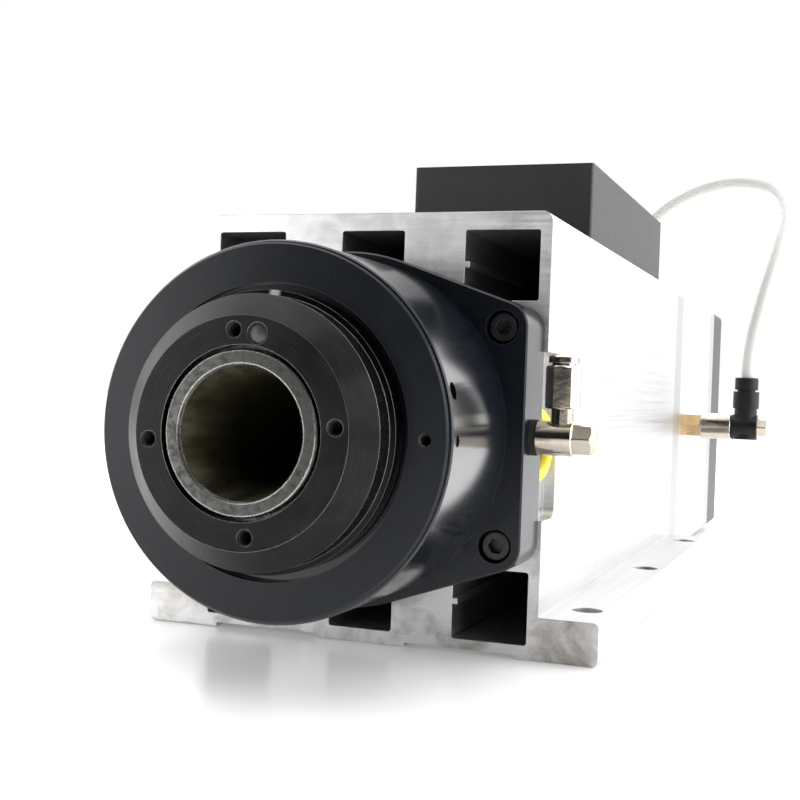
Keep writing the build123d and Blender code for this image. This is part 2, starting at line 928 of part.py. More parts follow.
def make_piston_ring():
    disc_radius = cylinder_radius - running_gap
    middle = (piston_start + piston_end) / 2
    return turned(
        (disc_radius - ring_section, middle - ring_section),
        (disc_radius, middle - ring_section),
        (disc_radius, middle + ring_section),
        (disc_radius - ring_section, middle + ring_section),
    )


def make_sensors():
    tip = -drawbar_cap_radius - sensor_gap
    sensors = []
    for y in sensor_places():
        body = rod_x(sensor_radius, -rear_chamber_radius - 12, tip, y)
        sensors.append(chamfer(body.faces().sort_by(Axis.X)[-1].edges(), 0.5))
    return group(sensors)


save("cylinder_body", make_cylinder())
save("rear_plate", make_rear_plate())
save("tie_screws", make_tie_screws())
save("piston", make_piston())
save("piston_ring", make_piston_ring())
save("position_sensors", make_sensors())


# Drawbar, gripper and disc springs
def make_drawbar():
    collar = spring_bore_start + drawbar_stroke + 3.0
    return turned(
        (0, pocket_end + 14.0),
        (drawbar_radius - 1.0, pocket_end + 14.0),
        (drawbar_radius, pocket_end + 15.0),
        (drawbar_radius, collar),
        (drawbar_radius, cap_start),
        (drawbar_radius, cap_end - 1.0),
        (0, cap_end - 1.0),
    )


def make_gripper():
    """A slotted collet whose hooked fingers close on a pull stud."""
    front = pocket_end - 1.0
    sleeve = turned(
        (6.6, front),
        (grip_bore_radius - running_gap - 0.6, front),
        (grip_bore_radius - running_gap, front + 0.6),
        (grip_bore_radius - running_gap, front + 6.0),
        (grip_bore_radius - 0.8, front + 7.0),
        (grip_bore_radius - 0.8, front + 24.0),
        (grip_bore_radius - running_gap, front + 25.0),
        (grip_bore_radius - running_gap, front + 36.0),
        (drawbar_radius, front + 36.0),
        (drawbar_radius, front + 15.0),
        (7.2, front + 15.0),
        (7.2, front + 4.0),
        (6.6, front + 3.0),
    )
    slit = block((0, grip_bore_radius + 1), (front - 1, front + 22.0), (-finger_slit / 2, finger_slit / 2))
    for cut in ring_pattern(slit, finger_count):
        sleeve -= cut
    return sleeve


def make_cap():
    return turned(
        (drawbar_radius, cap_start),
        (drawbar_cap_radius, cap_start),
        (drawbar_cap_radius, cap_end - 1),
        (drawbar_cap_radius - 1, cap_end),
        (0, cap_end),
        (0, cap_end - 1.0),
        (drawbar_radius, cap_end - 1.0),
    )


def make_disc_springs():
    """Coned discs in series between the shaft's shoulder and the drawbar cap."""
    start = spring_bore_start
    end = cap_start
    pitch = (end - start) / spring_disc_count
    inner = drawbar_radius + 0.4
    outer = spring_bore_radius - 0.4
    front_side = []
    for index in range(spring_disc_count + 1):
        radius = inner if index % 2 == 0 else outer
        front_side.append((radius, start + index * pitch))
    discs = []
    for (radius_a, y_a), (radius_b, y_b) in zip(front_side, front_side[1:]):
        thick = spring_disc_thickness
        corners = [(radius_a, y_a), (radius_b, y_b - thick), (radius_b, y_b), (radius_a, y_a + thick)]
        discs.append(turned(*corners))
    return group(discs)


save("drawbar", make_drawbar())
save("gripper", make_gripper())
save("drawbar_cap", make_cap())
save("disc_springs", make_disc_springs())


# Terminal box on top of the motor body
def box_outline(inset):
    width = box_right - box_left - 2 * inset
    length = box_rear - box_front - 2 * inset
    centre = ((box_left + box_right) / 2, (box_front + box_rear) / 2)
    return Pos(*centre) * RectangleRounded(width, length, max(box_edge - inset, 0.3))


def raised(outline, bottom, top):
    return Pos(0, 0, bottom) * extrude(outline, amount=top - bottom)


def make_box():
    shell = raised(box_outline(0), body_top, box_top)
    shell -= raised(box_outline(box_wall), body_top + box_wall, box_top + 1)
    shell -= raised(box_outline(lid_ledge), box_top - lid_thickness - gasket_thickness, box_top + 1)
    for x, y in box_screw_places():
        shell += rod_z(3.0, body_top, box_top - lid_thickness - gasket_thickness, x, y)
        shell -= rod_z(box_screw_radius, body_top - 1, box_top, x, y)
    for x in gland_x:
        shell -= rod_y(gland_radius, box_rear - box_wall - 1, box_rear + 1, x, body_top + gland_level)
    return shell - rod_z(cable_hole_radius, body_top - 1, body_top + box_wall + 1, 0, cable_hole_y)


def make_lid():
    top = box_top - 0.2
    lid = raised(box_outline(lid_ledge + 0.1), top - lid_thickness + 0.2, top)
    for x, y in box_screw_places():
        lid -= rod_z(box_screw_radius + 0.2, box_top - lid_thickness - 1, box_top + 1, x, y)
        lid -= rod_z(3.0, box_top - 1.8, box_top + 1, x, y)
    return lid


def make_box_gasket():
    top = box_top - lid_thickness
    gasket = raised(box_outline(lid_ledge + 0.1), top - gasket_thickness, top)
    gasket -= raised(box_outline(box_wall), top - 2, top + 1)
    return gasket


def make_box_screws():
    screws = []
    for x, y in box_screw_places():
        head = rod_z(2.8, box_top - 1.8, box_top - 0.2, x, y)
        shank = rod_z(box_screw_radius, body_top - 5.0, box_top - 1.8, x, y)
        screws.append(head + shank - hex_z(2.5, box_top - 1.2, box_top, x, y))
    return group(screws)


def make_terminal_block():
    low = body_top + box_wall
    centre_x = (box_left + box_right) / 2
    base = block((centre_x - 20, centre_x + 20), (box_front + 40, box_front + 56), (low, low + 13))
    for index in range(6):
        x = centre_x - 16.5 + index * 6.6
        base -= block((x - 2.4, x + 2.4), (box_front + 39, box_front + 43), (low + 6, low + 14))
        base -= rod_z(1.6, low + 9, low + 14, x, box_front + 49)
    return base


def make_glands():
    """Threaded gland bodies in the rear wall, their clamp nuts apart."""
    bodies = []
    nuts = []
    level = body_top + gland_level
    for x in gland_x:
        body = rod_y(gland_radius, box_rear - box_wall - 3, box_rear, x, level)
        body += hex_y(gland_flat, box_rear, box_rear + 5, x, level)
        body += rod_y(gland_radius - 0.5, box_rear + 5, box_rear + gland_length - 8, x, level)
        bodies.append(body - rod_y(4.5, box_rear - 20, box_rear + gland_length, x, level))
        nut = hex_y(gland_flat, box_rear + 6, box_rear + gland_length - 6, x, level)
        nut += rod_y(gland_radius, box_rear + gland_length - 6, box_rear + gland_length, x, level)
        nut -= rod_y(gland_radius - 0.5, box_rear, box_rear + gland_length - 8, x, level)
        nuts.append(nut - rod_y(5.0, box_rear, box_rear + gland_length + 1, x, level))
    return group(bodies), group(nuts)


save("terminal_box", make_box())
save("terminal_box_lid", make_lid())
save("lid_gasket", make_box_gasket())
save("lid_screws", make_box_screws())
save("terminal_block", make_terminal_block())
gland_bodies, gland_nuts = make_glands()
save("gland_bodies", gland_bodies)
save("gland_nuts", gland_nuts)


# Front air fitting: banjo elbow with a push-in sleeve
def push_in_bore(seat, hose_radius):
    """The stepped bore of a push-in socket, about Z at the origin."""
    hose = rod_z(hose_radius + tube_clearance, seat - tube_stop, seat + 1)
    stem_radius = hose_radius + 0.3 + release_wall + running_gap
    return hose + rod_z(stem_radius, seat - release_depth - release_travel - 0.2, seat + 1)


def make_washer():
    ring = rod_x(washer_radius, flange_half_width, banjo_start, port_y)
    return ring - rod_x(port_radius, flange_half_width - 1, banjo_end, port_y)


def make_banjo():
    body = rod_x(banjo_radius, banjo_start, banjo_end, port_y)
    body = chamfer(body.edges().filter_by(GeomType.CIRCLE), 0.4)
    body += rod_z(sleeve_neck_radius, 0, sleeve_bottom, sleeve_x, port_y)
    sleeve = hex_z(sleeve_flat, sleeve_bottom, sleeve_top, sleeve_x, port_y)
    rounding = rod_z(sleeve_flat / 2 + 0.35, sleeve_bottom, sleeve_top, sleeve_x, port_y)
    rounding = chamfer(rounding.edges().filter_by(GeomType.CIRCLE), 0.5)
    body += sleeve & rounding
    body -= rod_x(port_radius, banjo_start - 1, banjo_end + 1, port_y)
    return body - Pos(sleeve_x, port_y, 0) * push_in_bore(sleeve_top, front_tube_radius)


def make_banjo_bolt():
    bolt = rod_x(port_radius, cover_hole_circle + 2, banjo_end, port_y)
    head = hex_x(banjo_hex_flat, banjo_end, banjo_hex_end, port_y)
    rounding = rod_x(banjo_hex_flat / 2 + 0.45, banjo_end, banjo_hex_end, port_y)
    rounding = chamfer(rounding.faces().sort_by(Axis.X)[-1].edges(), 1.3)
    return bolt + (head & rounding)


def release_ring(radius, seat, top, hose_radius):
    """A push-in fitting's release ring, about Z at the origin, in its raised place."""
    bore = hose_radius + 0.3
    stem = rod_z(bore + release_wall, seat - release_depth, seat + release_travel)
    flange = rod_z(radius, seat + release_travel, top)
    flange = chamfer(flange.faces().sort_by(Axis.Z)[-1].edges(), 0.4)
    return stem + flange - rod_z(bore, seat - release_depth - 1, top + 1)


def make_front_release():
    ring = release_ring(release_radius, sleeve_top, release_top, front_tube_radius)
    return Pos(sleeve_x, port_y, 0) * ring


save("fitting_washer", make_washer())
save("fitting_body", make_banjo())
save("fitting_bolt", make_banjo_bolt())
save("fitting_release_ring", make_front_release())


# Yellow sensor lead in the side notch
def make_sensor_lead():
    loop_plane = Plane(origin=(lead_x, body_front, lead_level), x_dir=(0, 1, 0), z_dir=(1, 0, 0))
    route = loop_plane * CenterArc((0, 0, 0), lead_loop_radius, -90, 180)
    profile = Plane(origin=route @ 0, z_dir=route % 0) * Circle(lead_radius)
    return sweep(profile, path=route)


save("sensor_lead", make_sensor_lead())


# Rear air fitting, link tube and top fitting
def make_rear_base():
    base = hex_x(rear_base_flat, body_half_width, rear_base_end, rear_port_y)
    return base + rod_x(port_radius, rear_chamber_radius, body_half_width, rear_port_y)


def make_rear_collar():
    collar = rod_x(rear_collar_radius, rear_base_end, rear_collar_end, rear_port_y)
    return chamfer(collar.edges().filter_by(GeomType.CIRCLE), 0.8)


def make_elbow():
    body = rod_x(elbow_radius, rear_collar_end, elbow_screw_start, rear_port_y)
    body += rod_z(elbow_radius - 0.8, elbow_low, elbow_top, elbow_x, rear_port_y)
    body += rod_z(elbow_radius, elbow_top - 8, elbow_top, elbow_x, rear_port_y)
    return body - Pos(elbow_x, rear_port_y, 0) * push_in_bore(elbow_top, tube_radius)


def make_elbow_screw():
    head = hex_x(elbow_screw_flat, elbow_screw_start, elbow_screw_end, rear_port_y)
    rounding = rod_x(elbow_screw_flat / 2 + 0.45, elbow_screw_start, elbow_screw_end, rear_port_y)
    return head & chamfer(rounding.faces().sort_by(Axis.X)[-1].edges(), 1.2)


def make_elbow_ring():
    ring = release_ring(elbow_radius - 0.6, elbow_top, elbow_ring_top, tube_radius)
    return Pos(elbow_x, rear_port_y, 0) * ring


def make_top_fitting():
    seat = body_top + top_fitting_height
    body = hex_z(top_fitting_flat, body_top, body_top + top_hex_height)
    body += rod_z(top_fitting_flat / 2 - 0.2, body_top + top_hex_height, seat)
    body += rod_z(port_radius, cylinder_radius + 2, body_top)
    return Pos(top_port_x, top_port_y, 0) * (body - push_in_bore(seat, tube_radius))


def make_top_ring():
    seat = body_top + top_fitting_height
    ring = release_ring(top_fitting_flat / 2 - 0.4, seat, seat + top_ring_height, tube_radius)
    return Pos(top_port_x, top_port_y, 0) * ring


tube_route = [
    (83.0, 362.0, 8.2),
    (83.0, 362.0, 34.0),
    (88.2, 364.5, 60.0),
    (94.5, 374.0, 86.0),
    (98.5, 392.0, 108.0),
    (88.0, 418.0, 126.0),
    (56.0, 438.0, 131.0),
    (22.0, 446.0, 115.0),
    (13.0, 446.0, 92.0),
    (13.0, 446.0, 68.2),
]


def tube_radii(route):
    """Bend radii as large as the runs beside each corner allow."""
    radii = []
    for before, corner, after in zip(route, route[1:], route[2:]):
        back = Vector(*corner) - Vector(*before)
        ahead = Vector(*after) - Vector(*corner)
        half_turn = math.radians(back.get_angle(ahead)) / 2
        radii.append(0.45 * min(back.length, ahead.length) / math.tan(half_turn))
    return radii


def make_tube():
    radii = tube_radii(tube_route)
    print("tube bend radii", [round(radius, 1) for radius in radii])
    path = FilletPolyline(*tube_route, radius=radii)
    profile = Plane(origin=path @ 0, z_dir=path % 0) * Circle(tube_radius)
    tube = sweep(profile, path=path)
    area = math.pi * tube_radius**2
    print("tube length", round(path.length, 1), "volume ratio", round(tube.volume / (area * path.length), 4))
    return tube


save("rear_fitting_base", make_rear_base())
save("rear_fitting_collar", make_rear_collar())
save("rear_fitting_elbow", make_elbow())
save("rear_fitting_screw", make_elbow_screw())
save("rear_release_ring", make_elbow_ring())
save("top_fitting", make_top_fitting())
save("top_release_ring", make_top_ring())
save("air_tube", make_tube())


# Cooling fan: cowl with spider, impeller, guard and screws
def fan_place(shape):
    return Pos(0, 0, fan_centre_z) * shape


def make_cowl():
    cowl = along_y(section_outline(rear_section_bottom), fan_start, fan_rear)
    width = 2 * (body_half_width - cowl_wall)
    height = body_top - rear_section_bottom - 2 * cowl_wall
    plenum = Pos(0, fan_centre_z) * RectangleRounded(width, height, body_edge)
    cowl -= along_y(plenum, fan_start - 1, fan_start + plenum_depth)
    duct = fan_place(rod_y(fan_duct_radius, fan_start, fan_rear + 1))
    cowl -= duct
    strut_end = fan_rear - 1.0
    strut_start = strut_end - fan_strut_depth
    spider = rod_y(fan_hub_radius - 2, strut_start, strut_end)
    half_strut = fan_strut_width / 2
    reach = (fan_hub_radius - 4, fan_duct_radius + 1)
    strut = block(reach, (strut_start, strut_end), (-half_strut, half_strut))
    for arm in ring_pattern(strut, fan_strut_count, 45):
        spider += arm
    spider -= rod_y(fan_pin_radius + running_gap, strut_start - 1, strut_end - 1)
    cowl += fan_place(spider)
    for x, z in fan_screw_places():
        cowl -= rod_y(guard_screw_radius, fan_rear - guard_screw_depth, fan_rear + 1, x, z)
    return cowl


def fan_screw_places():
    x = body_half_width - guard_screw_inset
    z = (body_top - rear_section_bottom) / 2 - guard_screw_inset
    return [(px, pz + fan_centre_z) for px, pz in four_corners(x, z)]


def blade_section(radius, pitch, chord):
    """A blade section at one radius, square to the radius."""
    middle_y = blade_start + fan_blade_length / 2
    plane = Plane(origin=(radius, middle_y, 0), x_dir=(0, 1, 0), z_dir=(1, 0, 0))
    return plane * Rot(0, 0, pitch) * Rectangle(chord, fan_blade_thickness)


def make_impeller():
    root_radius = fan_hub_radius - hub_edge
    sections = []
    for share, pitch, fill in blade_stations:
        radius = root_radius + share * (fan_blade_radius - root_radius)
        chord = fan_blade_length / math.cos(math.radians(pitch)) * fill
        sections.append(blade_section(radius, pitch, chord))
    blade = loft(sections, ruled=True)
    hub = turned(
        (fan_pin_radius, blade_start),
        (fan_hub_radius - hub_edge, blade_start),
        (fan_hub_radius, blade_start + hub_edge),
        (fan_hub_radius, blade_start + fan_blade_length),
        (fan_hub_radius - hub_wall, blade_start + fan_blade_length),
        (fan_hub_radius - hub_wall, blade_start + hub_floor),
        (fan_pin_radius, blade_start + hub_floor),
    )
    for arm in ring_pattern(blade, fan_blade_count):
        hub += arm
    bore = rod_y(fan_hub_radius - hub_wall, blade_start + hub_floor, blade_start + fan_blade_length)
    return fan_place(hub - bore)


def make_fan_pin():
    return fan_place(rod_y(fan_pin_radius, blade_start, fan_rear - 2.2))


def make_guard():
    height = body_top - rear_section_bottom
    outline = Pos(0, fan_centre_z) * RectangleRounded(
        2 * (body_half_width - guard_inset), height - 2 * guard_inset, body_edge
    )
    outline -= Pos(0, fan_centre_z) * Circle(fan_duct_radius)
    for radius in guard_rings:
        ring = Circle(radius + guard_wire / 2) - Circle(radius - guard_wire / 2)
        outline += Pos(0, fan_centre_z) * ring
    for turn in (0, 90):
        outline += Pos(0, fan_centre_z) * Rot(0, 0, turn) * Rectangle(2 * fan_duct_radius + 2, guard_wire)
    guard = along_y(outline, fan_rear, guard_end)
    for x, z in fan_screw_places():
        guard -= rod_y(guard_screw_radius, fan_rear - 1, guard_end + 1, x, z)
    return guard


def make_guard_screws():
    screws = []
    for x, z in fan_screw_places():
        head = rod_y(guard_head_radius, guard_end, guard_end + guard_head_height, x, z)
        head = chamfer(head.faces().sort_by(Axis.Y)[-1].edges(), 0.6)
        shank = rod_y(guard_screw_radius, fan_rear - guard_screw_depth, guard_end, x, z)
        screws.append(head + shank - hex_y(2.5, guard_end + 1.0, guard_end + 3, x, z))
    return group(screws)


save("fan_cowl", make_cowl())
save("fan_impeller", make_impeller())
save("fan_pin", make_fan_pin())
save("fan_guard", make_guard())
save("guard_screws", make_guard_screws())
print(len(placed_nodes), "nodes")
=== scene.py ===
# %% [markdown]
# # A motor spindle, dressed in Blender
# The spindle stands on its foot on a white table and is seen close up from its nose: a dark turned nut
# round the ground mouth of its taper, a blackened housing, and behind them a drawn aluminium motor body.
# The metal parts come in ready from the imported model, in metres, with Y along the spindle, so this file
# gives them their finishes, adds the parts that only Blender draws well, and lights them.

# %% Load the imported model
import math

import bpy
from mathutils import Matrix, Vector


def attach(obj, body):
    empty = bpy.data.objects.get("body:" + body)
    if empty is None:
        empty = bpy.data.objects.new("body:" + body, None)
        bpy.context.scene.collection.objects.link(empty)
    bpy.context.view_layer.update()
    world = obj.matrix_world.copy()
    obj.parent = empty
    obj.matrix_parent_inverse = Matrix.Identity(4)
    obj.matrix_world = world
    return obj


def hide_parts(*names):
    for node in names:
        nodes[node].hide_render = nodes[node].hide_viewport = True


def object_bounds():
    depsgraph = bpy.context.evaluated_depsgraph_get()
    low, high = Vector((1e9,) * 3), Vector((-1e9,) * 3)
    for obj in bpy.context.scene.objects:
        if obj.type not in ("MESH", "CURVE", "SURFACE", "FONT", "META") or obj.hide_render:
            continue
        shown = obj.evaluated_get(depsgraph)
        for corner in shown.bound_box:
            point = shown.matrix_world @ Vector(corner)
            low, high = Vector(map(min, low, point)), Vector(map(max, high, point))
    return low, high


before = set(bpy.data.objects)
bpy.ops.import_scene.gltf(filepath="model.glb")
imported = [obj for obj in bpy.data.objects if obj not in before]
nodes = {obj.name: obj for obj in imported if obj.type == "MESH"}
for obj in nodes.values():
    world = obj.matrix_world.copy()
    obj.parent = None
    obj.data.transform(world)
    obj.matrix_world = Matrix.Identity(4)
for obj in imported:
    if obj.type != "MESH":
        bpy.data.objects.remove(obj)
cad_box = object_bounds()
print(len(nodes), "nodes, box", [[round(v, 4) for v in corner] for corner in cad_box])

# %% [markdown]
# ## The camera
# The picture was taken close to the nose, a little above the axis and from its right-hand side, with the
# camera tipped by two degrees. A camera is placed by three unit vectors: the way it looks, its right and
# its up. Putting them in a matrix is surer than a track constraint, which would lose the tip. Lens and
# sensor are in millimetres, as on a real camera, and places are in metres.

# %% Place the camera
camera_place = (0.136935, -0.264937, 0.011245)
azimuth, elevation, roll = math.radians(20.157), math.radians(0.401), math.radians(2.096)
focal_length, sensor_width, nearest_seen = 57.129, 36.0, 0.01

look = Vector((-math.sin(azimuth) * math.cos(elevation),
               math.cos(azimuth) * math.cos(elevation),
               -math.sin(elevation)))
level_right = Vector((math.cos(azimuth), math.sin(azimuth), 0))
level_up = level_right.cross(look)
right = math.cos(roll) * level_right + math.sin(roll) * level_up
up = right.cross(look)

camera_data = bpy.data.cameras.new("camera")
camera_data.sensor_fit = "HORIZONTAL"
camera_data.sensor_width = sensor_width
camera_data.lens = focal_length
camera_data.clip_start = nearest_seen
camera = bpy.data.objects.new("camera", camera_data)
turned_to = Matrix((right, up, -look)).transposed().to_4x4()
camera.matrix_world = Matrix.Translation(camera_place) @ turned_to
bpy.context.scene.collection.objects.link(camera)
bpy.context.scene.camera = camera
print("camera looks along", [round(v, 3) for v in look])

# %% [markdown]
# ## Soft lines
# An air tube and a short lead are soft. Each could be a mesh swept along an arc, but a soft line has no
# arcs and straights, so it is one smooth NURBS curve with a round bevel, led by a few points.

# %% A helper that draws a soft line
def soft_line(name, route, radius):
    """A round NURBS curve led by the points of its route."""
    line = bpy.data.curves.new(name, "CURVE")
    line.dimensions = "3D"
    line.bevel_depth = 1.0
    line.bevel_resolution = 8
    line.resolution_u = 16
    spline = line.splines.new("NURBS")
    spline.points.add(len(route) - 1)
    for point, place in zip(spline.points, route):
        point.co = (*place, 1)
        point.radius = radius
    spline.order_u = 3
    spline.use_endpoint_u = True
    piece = bpy.data.objects.new(name, line)
    bpy.context.scene.collection.objects.link(piece)
    return piece


# %% [markdown]
# ## The air tube
# A thin milky tube brings air from the elbow on the right of the cylinder to the fitting on its top. It
# leaves both fittings along their axes, since the first two and the last two points stand straight above
# them.

# %% Draw the tube between its two fittings
tube_route = [(0.083, 0.362, 0.0082), (0.083, 0.362, 0.034), (0.0882, 0.3645, 0.060),
              (0.0945, 0.374, 0.086), (0.0985, 0.392, 0.108), (0.088, 0.418, 0.126),
              (0.056, 0.438, 0.131), (0.022, 0.446, 0.115), (0.013, 0.446, 0.092),
              (0.013, 0.446, 0.0682)]
tube_radius = 0.00295
air_line = soft_line("soft_air_line", tube_route, tube_radius)
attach(air_line, "housing")
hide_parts("air_tube")
print("air tube led by", len(tube_route), "points")

# %% [markdown]
# ## The little yellow lead
# A thin yellow lead loops out of the recess behind the flange, beside the air fitting. It is far too short
# to hang as a cable does. The same kind of smooth curve gives it a soft bend whose ends tuck in behind the
# flange.

# %% Loop the yellow lead behind the flange
lead_route = [(0.0500, 0.0800, 0.0070), (0.0514, 0.0875, 0.0065), (0.0520, 0.0915, -0.0025),
              (0.0514, 0.0875, -0.0115), (0.0500, 0.0800, -0.0120)]
lead_radius = 0.0016
yellow_loop = soft_line("yellow_lead_loop", lead_route, lead_radius)
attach(yellow_loop, "housing")
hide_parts("sensor_lead")
print("yellow lead led by", len(lead_route), "points")

# %% [markdown]
# ## Threads in the small holes
# The holes in the nut and the cover are tapped, so fine bright turns lie just inside the mouth. A thread
# could be cut into the model, but its many faces would weigh it down, so each is a thin ridge that winds
# down the wall of its hole.

# %% A helper that winds a thread inside a hole
def thread(name, centre, radius, start, turns, pitch=0.0005, body="housing"):
    """A triangular ridge that winds along Y on the wall of a hole."""
    steps, ridge_height, flank = 28, 0.00018, 0.38 * pitch
    corners, faces = [], []
    for i in range(turns * steps + 1):
        angle, along = 2 * math.pi * i / steps, start + pitch * i / steps
        for inward, shift in ((0.0, -flank), (ridge_height, 0.0), (0.0, flank)):
            reach = radius - inward
            corners.append((centre[0] + reach * math.cos(angle), along + shift,
                            centre[1] + reach * math.sin(angle)))
    for i in range(turns * steps):
        for edge in range(2):
            a = 3 * i + edge
            faces.append((a, a + 1, a + 4, a + 3))
    ridge = bpy.data.meshes.new(name)
    ridge.from_pydata(corners, [], faces)
    ridge.shade_smooth()
    piece = bpy.data.objects.new(name, ridge)
    bpy.context.scene.collection.objects.link(piece)
    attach(piece, body)
    return piece


# %% Thread the nut and the cover
nut_holes, nut_hole_circle, first_hole_turn = 4, 0.02435, 5.5
cover_hole = (0.0409, 0.0)

threads = []
for number in range(nut_holes):
    angle = math.radians(first_hole_turn + 360 / nut_holes * number)
    centre = (nut_hole_circle * math.cos(angle), nut_hole_circle * math.sin(angle))
    threads.append(thread(f"nut_thread_{number}", centre, radius=0.0017, start=0.0007, turns=9,
                          body="spindle"))
threads.append(thread("cover_thread", cover_hole, radius=0.00135, start=0.0152, turns=12))
print(len(threads), "threads wound")

# %% [markdown]
# ## Smooth turned faces
# The model comes as flat triangles. A turned part is round to the eye, so its faces are shaded smooth, and
# every edge sharper than thirty degrees stays crisp.

# %% Shade the nodes smooth
crisp_from = math.radians(30)
for node in nodes.values():
    node.data.shade_smooth()
    node.data.set_sharp_from_angle(angle=crisp_from)
print("smoothed", len(nodes), "nodes")

# %% [markdown]
# ## Nodes for shaders
# The world and every finish are built from shader nodes. Three small functions keep that short: one adds a
# node and feeds it, one does a step of arithmetic and one moves a value from a range to another.

# %% Helpers that add shader nodes
def put(tree, kind, feeds=None, **settings):
    """A new node with its settings; each input is fed by another node's output or by a value."""
    node = tree.nodes.new(kind)
    for key, value in settings.items():
        setattr(node, key, value)
    for socket, value in (feeds or {}).items():
        if isinstance(value, bpy.types.NodeSocket):
            tree.links.new(value, node.inputs[socket])
        else:
            node.inputs[socket].default_value = value
    return node


def calc(tree, operation, a, b=0.0):
    """One step of arithmetic."""
    return put(tree, "ShaderNodeMath", {0: a, 1: b}, operation=operation).outputs[0]


def spread(tree, value, low, high, to_low=0.0, to_high=1.0):
    """A value moved from one range to another and kept inside it."""
    return put(tree, "ShaderNodeMapRange", {0: value, 1: low, 2: high, 3: to_low, 4: to_high}).outputs[0]


# %% [markdown]
# ## The studio
# The table and the background are burnt out to white, and a large light on the right wipes out the side of
# the motor. A white world lit evenly would do that, but then black parts turn grey. So the camera sees
# white, while the parts see a room that is nearly dark on the camera's side, grows brighter upwards and
# beyond the spindle, and has three large soft lights.

# %% Make the room that the parts see
world = bpy.data.worlds.new("studio")
world.use_nodes = True
bpy.context.scene.world = world
bpy.context.scene.view_settings.view_transform = "Standard"

room = world.node_tree
room.nodes.clear()
direction = put(room, "ShaderNodeTexCoord").outputs["Generated"]
sides = put(room, "ShaderNodeSeparateXYZ", {0: direction}).outputs
upwards = spread(room, sides["Z"], low=0.1, high=0.8, to_low=0.6, to_high=1.5)
beyond = spread(room, sides["Y"], low=-0.75, high=0.95, to_low=0.03, to_high=2.4)
shade = calc(room, "MULTIPLY", upwards, beyond)
seen_by_parts = put(room, "ShaderNodeBackground", {"Color": shade, "Strength": 1.0}).outputs[0]
seen_by_camera = put(room, "ShaderNodeBackground", {"Color": (1, 1, 1, 1), "Strength": 1.0}).outputs[0]
is_camera = put(room, "ShaderNodeLightPath").outputs["Is Camera Ray"]
mixed = put(room, "ShaderNodeMixShader", {0: is_camera, 1: seen_by_parts, 2: seen_by_camera}).outputs[0]
put(room, "ShaderNodeOutputWorld", {"Surface": mixed})
print("room made of", len(room.nodes), "nodes")


# %% Hang the soft lights
def soft_light(name, place, aim, width, height, power):
    """A rectangular area light that faces a point."""
    lamp = bpy.data.lights.new(name, "AREA")
    lamp.shape = "RECTANGLE"
    lamp.size, lamp.size_y = width, height
    lamp.energy = power
    holder = bpy.data.objects.new(name, lamp)
    holder.location = place
    holder.rotation_euler = (Vector(aim) - Vector(place)).to_track_quat("-Z", "Y").to_euler()
    bpy.context.scene.collection.objects.link(holder)


soft_light("right_wall", (1.0, 0.25, 0.35), aim=(0, 0.2, 0), width=1.3, height=0.75, power=9.5)
soft_light("ceiling", (0.1, 0.35, 1.1), aim=(0, 0.25, 0), width=1.2, height=1.2, power=5)
soft_light("left_window", (-0.74, -0.70, 0.05), aim=(0, 0.04, 0), width=0.62, height=1.0, power=5.5)
print("three soft lights")

# %% [markdown]
# ## The table
# The table is glossy white board, and its polish gives the faint mirror image below the nose. A plane is
# enough. It lies a hair below the foot, so the two never share a surface.

# %% Lay the table
floor_height = cad_box[0][2]
table_half, table_gap = 6.0, 0.0002
corners = [(x * table_half, y * table_half, 0) for x, y in ((-1, -1), (1, -1), (1, 1), (-1, 1))]
board = bpy.data.meshes.new("table")
board.from_pydata(corners, [], [(0, 1, 2, 3)])
table = bpy.data.objects.new("table", board)
table.location = (0, 0, floor_height - table_gap)
bpy.context.scene.collection.objects.link(table)
print("table top at", round(floor_height, 4))

# %% [markdown]
# ## Effects that several finishes share
# Worn edges, tool marks, stains and dust turn up on many parts, so each is a node group made once. It has
# named inputs and puts out only a mask, a value or a normal. The shader itself stays in each material.

# %% A helper that opens a node group
def effect(name, inputs, outputs):
    """A node group with named inputs and outputs, and the sockets inside it to build between."""
    tree = bpy.data.node_groups.new(name, "ShaderNodeTree")
    for label, kind, value in inputs:
        socket = tree.interface.new_socket(name=label, in_out="INPUT", socket_type="NodeSocket" + kind)
        socket.default_value = value
    for label, kind in outputs:
        tree.interface.new_socket(name=label, in_out="OUTPUT", socket_type="NodeSocket" + kind)
    return tree, tree.nodes.new("NodeGroupInput").outputs, tree.nodes.new("NodeGroupOutput").inputs


# %% Worn edges
tree, given, gives = effect("worn edges", [("Width", "Float", 0.0004)],
                            [("Edge", "Float"), ("Rounded", "Vector")])
rounded = put(tree, "ShaderNodeBevel", {"Radius": given["Width"]}, samples=4).outputs[0]
flat = put(tree, "ShaderNodeNewGeometry").outputs["Normal"]
agree = put(tree, "ShaderNodeVectorMath", {0: rounded, 1: flat}, operation="DOT_PRODUCT").outputs["Value"]
still_flat, fully_worn = 0.995, 0.85
tree.links.new(spread(tree, agree, still_flat, fully_worn), gives["Edge"])
tree.links.new(rounded, gives["Rounded"])
worn_edges = tree
print("worn edges ready")

